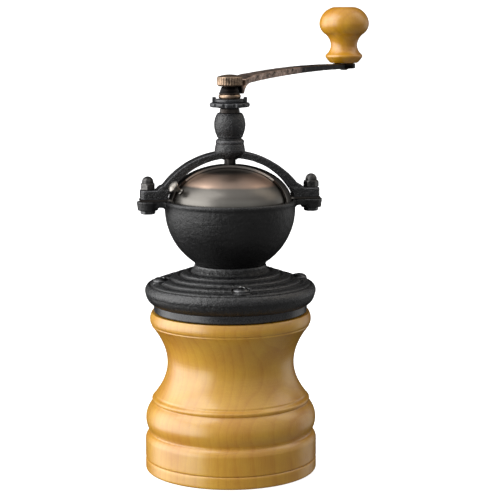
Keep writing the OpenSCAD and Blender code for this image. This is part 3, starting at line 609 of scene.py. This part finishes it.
M = {
    "jar": wood("turned_wood", (0.675, 0.368, 0.032), (0.520, 0.212, 0.011),
                heart=(-70.0, 35.0, 0.0), pitch=4.6, gloss=0.40, coat=0.74, shine=0.26),
    "knob": wood("knob_wood", (0.68, 0.345, 0.014), (0.52, 0.210, 0.005),
                 heart=(52.0, 150.0, 0.0), pitch=3.0, gloss=0.26, coat=0.6, shine=0.28, seed=37.0),
    # Each iron material paints highlights on its ridges and shade in its hollows.
    "iron": iron("cast_iron", (0.0014, 0.0014, 0.0015), (0.0036, 0.0036, 0.0038), grain=0.4,
                 gloss=0.36, bump=0.30, glance=0.54),
    "flange": iron("flange_iron", (0.0013, 0.0013, 0.0015), (0.0036, 0.0036, 0.0038), grain=0.5,
                   gloss=0.33, bump=0.34, rub_and_glint_gain=9.0, sheen=0.14, crest=0.22, hollow_shade=3.0,
                   glance=0.66),
    # the screws' bright edges are worn metal and also a painted highlight
    "screw": metal("screw_steel", (0.15, 0.15, 0.155), (0.030, 0.030, 0.031), spread=0.46,
                   gloss=0.20, edge=0.7, edge_colour=(0.6, 0.6, 0.6)),
    "yoke": iron("yoke_paint", (0.003, 0.003, 0.0033), (0.009, 0.009, 0.010), grain=0.5,
                 gloss=0.22, bump=0.55, rub_and_glint_gain=8.0),
    "dark": iron("dark_steel", (0.010, 0.011, 0.013), (0.026, 0.027, 0.030), grain=0.35,
                 gloss=0.25, rust=0.35, bump=0.05, rub_and_glint=0.7),
    "steel": metal("steel", (0.42, 0.40, 0.37), (0.13, 0.115, 0.10), spread=0.47, gloss=0.20),
    "nut": metal("nut_steel", (0.16, 0.155, 0.15), (0.040, 0.039, 0.038), spread=0.46,
                 gloss=0.18, edge=0.6, edge_colour=(0.24, 0.22, 0.20)),
    "oiled": metal("oiled_steel", (0.075, 0.070, 0.066), (0.028, 0.025, 0.024), spread=0.47,
                   gloss=0.26, edge_colour=(0.16, 0.12, 0.09)),
    "burr": metal("burr_steel", (0.36, 0.35, 0.34), (0.18, 0.17, 0.16), spread=0.55, gloss=0.30,
                  edge=0.8),
    "bronze": metal("bronze", (0.50, 0.355, 0.245), (0.045, 0.034, 0.027), spread=0.50,
                    gloss=0.28, edge=0.8, edge_colour=(0.55, 0.40, 0.28)),
    # the crank's far stretch and hub are painted shade, partly tarnish
    "arm": metal("arm_copper", (0.62, 0.45, 0.365), (0.009, 0.008, 0.008), spread=0.50,
                 gloss=0.28, edge=0.85, edge_colour=(0.56, 0.39, 0.29), bump=0.12,
                 far=(CRANK_TURN, 50.0, 72.0)),
    "smoked": smoked("smoked_metal"),
    # The rear dome is the same metal under painted shade.
    "smoked_rear_painted_dark": smoked("smoked_rear_painted_dark", 0.07),
}


def dress(ob, mat, body, node):
    ob.data.materials.clear()
    ob.data.materials.append(M[mat])
    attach(ob, body)
    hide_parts(node)


# ---------------------------------------------------------------- jar

JAR_LINES = ((77.8, 0.32, 0.8), (39.7, 0.34, 1.1))      # the two fine lines cut into the jar
dress(turned("jar_turning", "jar_body", azimuth=0.7, steps=224, corner=0.5, longest=1.5, wear_and_shading=0.06,
             cuts=JAR_LINES),
      "jar", "jar", "jar_body")
dress(turned("jar_foot", "base_disc", azimuth=0.7, steps=224, corner=0.4, longest=1.5, wear_and_shading=0.06),
      "jar", "jar", "base_disc")

# ---------------------------------------------------------------- head

dress(soften("bowl_iron", "hopper_bowl", voxel=0.5, rounds=3, lump=0.16, lump_size=4.0, seed=3,
             wear_and_shading=0.22),
      "iron", "head", "hopper_bowl")
dress(soften("flange_iron", "flange_casting", voxel=0.40, rounds=1, lump=0.12, lump_size=4.0,
             seed=4, wear_and_shading=0.16, spread=20, deepen=0.9),
      "flange", "head", "flange_casting")
dress(turned("skirt_ring", "screw_ring", azimuth=0.9, steps=200, corner=0.3, longest=1.5, wear_and_shading=0.2),
      "dark", "head", "screw_ring")
dress(soften("flange_screw_set", "flange_screws", voxel=0.16, rounds=2, wear_and_shading=0.12),
      "screw", "head", "flange_screws")
dress(soften("yoke_iron", "yoke", voxel=0.36, rounds=3, lump=0.12, lump_size=3.5, seed=5,
             wear_and_shading=0.16, spread=8, deepen=0.08),
      "yoke", "head", "yoke")
dress(soften("yoke_bolt_set", "yoke_bolts", voxel=0.22, rounds=2, wear_and_shading=0.15),
      "dark", "head", "yoke_bolts")
dress(soften("cap_nut_set", "cap_nuts", voxel=0.15, rounds=3, wear_and_shading=0.12),
      "nut", "head", "cap_nuts")
dress(turned("column_bush", "upper_bush", azimuth=0.9, steps=96, corner=0.15, longest=1.0,
             wear_and_shading=0.12),
      "oiled", "head", "upper_bush")

# ---------------------------------------------------------------- domes, with the CAD's sizes in mm

WALL = 1.1                  # of each dome
DOME_R = 32.10              # rear dome
DOME_H = 19.90
DOME_Z = 141.31
LID_R = 30.65               # lid, nested under the rear dome
LID_H = 18.20
LID_Z = 141.56
LID_LAP = math.radians(8)   # of the lid under the rear dome, at each side of the door
EYE_R = 3.5                 # hole in both domes for the spindle
DOOR_R = 60.0               # the door's edge lies on a circle
DOOR_AWAY = 65.0            # whose middle is this far from the spindle
EAR_IN = 31.5               # each ear of the rear dome runs from this radius
EAR_OUT = 47.0              # to this distance from the spindle
EAR_CORNER = 46.8           # where the points along its sides stop, short of the corners
EAR_HALF = 4.6              # half its width
EAR_LOW = 142.86
EAR_HIGH = 143.86
BOLT_X = 42.8               # the bolt's hole in each ear
BOLT_HOLE_R = 2.1
FOLD = 0.6                  # edges that fold by more radians than this are rounded


def round_edges(bm, edges, offset):
    sharp = [e for e in edges if len(e.link_faces) == 2 and e.calc_face_angle(0) > FOLD]
    bmesh.ops.bevel(bm, geom=sharp, offset=offset * MM, segments=2, affect="EDGES",
                    clamp_overlap=True)


def dome_plate(name, columns, r, h, z, rings, closed):
    """A curved plate of even wall, r wide and h high on height z. Each column is (azimuth from the
    middle of the door, inner radius, outer radius) and has as many faces as rings."""
    verts, faces = [], []
    n = len(columns)
    for skin in (0, 1):
        for phi, r0, r1 in columns:
            t0, t1 = math.asin(min(1, r0 / r)), math.asin(min(1, r1 / r))
            for j in range(rings + 1):
                s = j / rings
                t = t0 + (t1 - t0) * s
                rr, hh = r - WALL * skin, h - WALL * skin
                verts.append((rr * math.sin(t) * math.sin(phi), -rr * math.sin(t) * math.cos(phi),
                              z + hh * math.cos(t)))
    per = rings + 1
    for skin in (0, 1):
        base = skin * n * per
        for i in range(n if closed else n - 1):
            k = (i + 1) % n
            for j in range(rings):
                faces.append((base + i * per + j, base + i * per + j + 1,
                              base + k * per + j + 1, base + k * per + j))
    other = n * per
    for i in range(n if closed else n - 1):
        k = (i + 1) % n
        for j in (0, rings):
            faces.append((i * per + j, k * per + j, other + k * per + j, other + i * per + j))
    if not closed:
        for i in (0, n - 1):
            for j in range(rings):
                faces.append((i * per + j, i * per + j + 1, other + i * per + j + 1,
                              other + i * per + j))
    verts = np.array(verts) * MM
    a = HEAD_TURN + DOOR_TURN
    turn = np.array([[math.cos(a), -math.sin(a), 0], [math.sin(a), math.cos(a), 0], [0, 0, 1]])
    me = mesh_from(name, verts @ turn.T, faces)
    bm = bmesh.new()
    bm.from_mesh(me)
    bmesh.ops.remove_doubles(bm, verts=bm.verts, dist=TINY)
    bmesh.ops.recalc_face_normals(bm, faces=bm.faces)
    round_edges(bm, bm.edges, 0.22)
    bm.to_mesh(me)
    bm.free()
    return me


def add_ear(me, side):
    """Adds a tab of the rear dome, under one foot of the yoke, with its hole for the bolt."""
    across, along = 13, 24      # points on each end and each side of the outline
    line = [(side * math.sqrt(EAR_IN ** 2 - y * y), y)
            for y in np.linspace(-EAR_HALF, EAR_HALF, across)]
    line += [(side * x, EAR_HALF) for x in np.linspace(EAR_IN, EAR_CORNER, along)[1:]]
    line += [(side * EAR_OUT, y) for y in np.linspace(EAR_HALF, -EAR_HALF, across)]
    line += [(side * x, -EAR_HALF) for x in np.linspace(EAR_CORNER, EAR_IN, along)[:-1]]
    bm = bmesh.new()
    bm.from_mesh(me)
    c, d = math.cos(HEAD_TURN), math.sin(HEAD_TURN)
    rings = []
    for z in (EAR_LOW, EAR_HIGH):
        for hole in (False, True):
            ring = []
            for x, y in line:
                if hole:
                    t = math.atan2(y, x - side * BOLT_X)
                    x, y = side * BOLT_X + BOLT_HOLE_R * math.cos(t), BOLT_HOLE_R * math.sin(t)
                ring.append(bm.verts.new(Vector((c * x - d * y, d * x + c * y, z)) * MM))
            rings.append(ring)
    low, low_hole, high, high_hole = rings
    new = []
    for a, b in ((low, low_hole), (low_hole, high_hole), (high_hole, high), (high, low)):
        for k in range(len(line)):
            m = (k + 1) % len(line)
            new.append(bm.faces.new((a[k], a[m], b[m], b[k])))
    bmesh.ops.recalc_face_normals(bm, faces=new)
    round_edges(bm, dict.fromkeys(e for f in new for e in f.edges), 0.15)
    bm.to_mesh(me)
    bm.free()


def finished_dome(me):
    store_wear_and_shading(me, 3, 0.10)
    shade(me, 50)
    return new_object(me.name, me)


DOOR_STEPS, BACK_STEPS, LID_STEPS = 70, 110, 120
door_edge = math.acos((DOOR_R ** 2 + DOOR_AWAY ** 2 - DOME_R ** 2) / (2 * DOOR_R * DOOR_AWAY))
columns = []
for k in range(-DOOR_STEPS, DOOR_STEPS + 1):
    a = door_edge * k / DOOR_STEPS
    x, y = DOOR_R * math.sin(a), DOOR_AWAY - DOOR_R * math.cos(a)
    columns.append((math.atan2(x, y), EYE_R, math.hypot(x, y)))
door_half = columns[-1][0]
for k in range(1, BACK_STEPS):
    columns.append((door_half + (2 * math.pi - 2 * door_half) * k / BACK_STEPS, EYE_R, DOME_R))
rear = dome_plate("rear_dome_plate", columns, DOME_R, DOME_H, DOME_Z, rings=40, closed=True)
for side in (-1, 1):
    add_ear(rear, side)
dress(finished_dome(rear), "smoked_rear_painted_dark", "head", "rear_dome")

lid_half = door_half + LID_LAP
columns = [(-lid_half + 2 * lid_half * k / LID_STEPS, EYE_R, LID_R) for k in range(LID_STEPS + 1)]
lid = dome_plate("lid_plate", columns, LID_R, LID_H, LID_Z, rings=48, closed=False)
dress(finished_dome(lid), "smoked", "lid", "lid_dome")
dress(soften("lid_button", "lid_knob", voxel=0.14, rounds=2, wear_and_shading=0.12),
      "steel", "lid", "lid_knob")

# ---------------------------------------------------------------- adjuster and crank

dress(soften("notched_wheel", "adjusting_wheel", voxel=0.2, rounds=3, lump=0.06, lump_size=2.0,
             seed=9, wear_and_shading=0.12),
      "dark", "adjuster", "adjusting_wheel")
dress(soften("locking_plate", "lock_plate", voxel=0.18, rounds=3, lump=0.04, lump_size=2.0,
             seed=10, wear_and_shading=0.12),
      "dark", "lock", "lock_plate")
dress(turned("crank_collar", "crank_washer", azimuth=0.9, steps=96, corner=0.15, longest=0.8,
             wear_and_shading=0.1),
      "bronze", "spindle", "crank_washer")
dress(soften("crank_forging", "crank_arm", voxel=0.30, rounds=6, lump=0.14, lump_size=9.0, seed=12,
             wear_and_shading=0.2),
      "arm", "spindle", "crank_arm")
dress(soften("knurled_nut", "crank_nut", voxel=0.13, rounds=1, wear_and_shading=0.1),
      "bronze", "spindle", "crank_nut")
dress(turned("knob_turning", "knob_handle", azimuth=0.7, steps=144, corner=0.4, longest=1.0,
             wear_and_shading=0.10),
      "knob", "knob", "knob_handle")

# ---------------------------------------------------------------- CAD nodes that stay

for node, mat in {"mouth_ring": "steel", "mouth_ring_screws": "bronze", "outer_burr": "burr",
                  "burr_bridge": "iron", "bridge_screws": "dark", "lower_bush": "bronze",
                  "spindle_shaft": "oiled", "inner_burr": "burr", "burr_clip": "steel",
                  "knob_pin": "steel"}.items():
    NODES[node].data.materials.clear()
    NODES[node].data.materials.append(M[mat])

# ---------------------------------------------------------------- floor

paper = Material("floor_paper")
tint = paper.mix(paper.noise(0.01, 3.0), (0.88, 0.88, 0.88), (0.92, 0.92, 0.92))
tooth = paper.bump(paper.noise(0.6, 3.0), 0.05, 0.1)
paper.finish(Base_Color=tint, Roughness=0.8, Normal=tooth, Specular_IOR_Level=0.1,
             Emission_Color=(1.0, 1.0, 1.0), Emission_Strength=0.8)

SWEEP = [(0.0, 0.0), (9.0, 0.0), (11.5, 0.3), (13.3, 1.6), (14.0, 4.0), (14.0, 13.5)]
SWEEP_STEPS = 48
BELOW = 0.0002      # the paper lies this far under the jar
verts, faces = [], []
for r, z in SWEEP:
    for k in range(SWEEP_STEPS):
        t = k * math.pi / (SWEEP_STEPS // 2)
        verts.append((r * math.cos(t), r * math.sin(t), z - BELOW))
for i in range(len(SWEEP) - 1):
    inner, outer = i * SWEEP_STEPS, (i + 1) * SWEEP_STEPS
    for k in range(SWEEP_STEPS):
        m = (k + 1) % SWEEP_STEPS
        faces.append((inner + k, outer + k, outer + m, inner + m))
floor = new_object("floor", mesh_from("floor", verts, faces))
shade(floor.data)
floor.data.materials.append(paper.mat)
floor.visible_diffuse = False
floor.visible_glossy = False
floor.visible_shadow = False

# ---------------------------------------------------------------- light

world = bpy.data.worlds.new("studio")
bpy.context.scene.world = world
world.use_nodes = True
studio = Nodes(world.node_tree)
background = world.node_tree.nodes["Background"]
background.inputs["Color"].default_value = (1, 1, 1, 1)
coord = studio.add("TexCoord", {})
toward = studio.add("SeparateXYZ", {0: coord.outputs["Generated"]})


def band(axis, *stops):
    """Brightness over one part of a direction, which runs from -1 to 1."""
    half = studio.math("MULTIPLY_ADD", toward.outputs[axis], 0.5, 0.5)
    return studio.ramp(half, *((at * 0.5 + 0.5, value) for at, value in stops), smooth=True)


sky = band("Z", (-0.6, 0.20), (-0.1, 0.19), (0.06, 0.36), (0.4, 0.45), (0.95, 0.78))
front = band("Y", (0.30, 1.0), (0.74, 0.10))
left_panel = studio.times(band("X", (-0.80, 2.9), (-0.42, 0.0)),
                          band("Z", (-0.40, 0.0), (-0.22, 1.0), (0.35, 1.0), (0.80, 0.0)))
right_panel = studio.times(band("X", (0.46, 0.0), (0.68, 0.52)),
                           band("Y", (0.15, 0.0), (0.45, 1.0)))
right_panel = studio.times(right_panel,
                           band("Z", (-0.42, 0.0), (-0.26, 1.0), (0.08, 1.0), (0.40, 0.0)))
ahead = studio.times(studio.plus(sky, left_panel), front)
studio.put(background.inputs["Strength"], studio.plus(ahead, right_panel))


def softbox(name, azimuth, elevation, away, width, height, watts, colour=(1, 1, 1)):
    """An area light aimed at the middle of the grinder; azimuth runs from the camera's side,
    positive to the right."""
    aim = Vector((0, 0, 0.12))
    a, e = math.radians(azimuth), math.radians(elevation)
    d = Vector((math.sin(a) * math.cos(e), -math.cos(a) * math.cos(e), math.sin(e)))
    data = bpy.data.lights.new(name, "AREA")
    data.shape = "RECTANGLE"
    data.size = width
    data.size_y = height
    data.energy = watts
    data.color = colour
    ob = new_object(name, data)
    ob.location = aim + d * away
    ob.rotation_euler = (-d).to_track_quat("-Z", "Y").to_euler()


softbox("key", -70, 51, away=1.05, width=0.9, height=0.7, watts=4.8)
softbox("fill", 100, 40, away=1.1, width=0.55, height=0.8, watts=1.3, colour=(1.0, 0.86, 0.70))

# ---------------------------------------------------------------- camera

PAN, TILT, ROLL = -0.674, 8.83, -0.1        # in degrees; the tilt is down from level
cam = new_object("camera", bpy.data.cameras.new("camera"))
cam.data.lens = 122.4
cam.data.sensor_width = 36
cam.data.clip_start = 0.01
cam.data.clip_end = 100
cam.location = (0, -0.876, 0.2522)
turn = Matrix.Rotation(math.radians(PAN), 4, "Z") @ Matrix.Rotation(math.radians(90 - TILT), 4, "X")
turn = turn @ Matrix.Rotation(math.radians(ROLL), 4, "Z")
cam.rotation_euler = turn.to_euler()
bpy.context.scene.camera = cam
bpy.context.scene.view_settings.view_transform = "Standard"
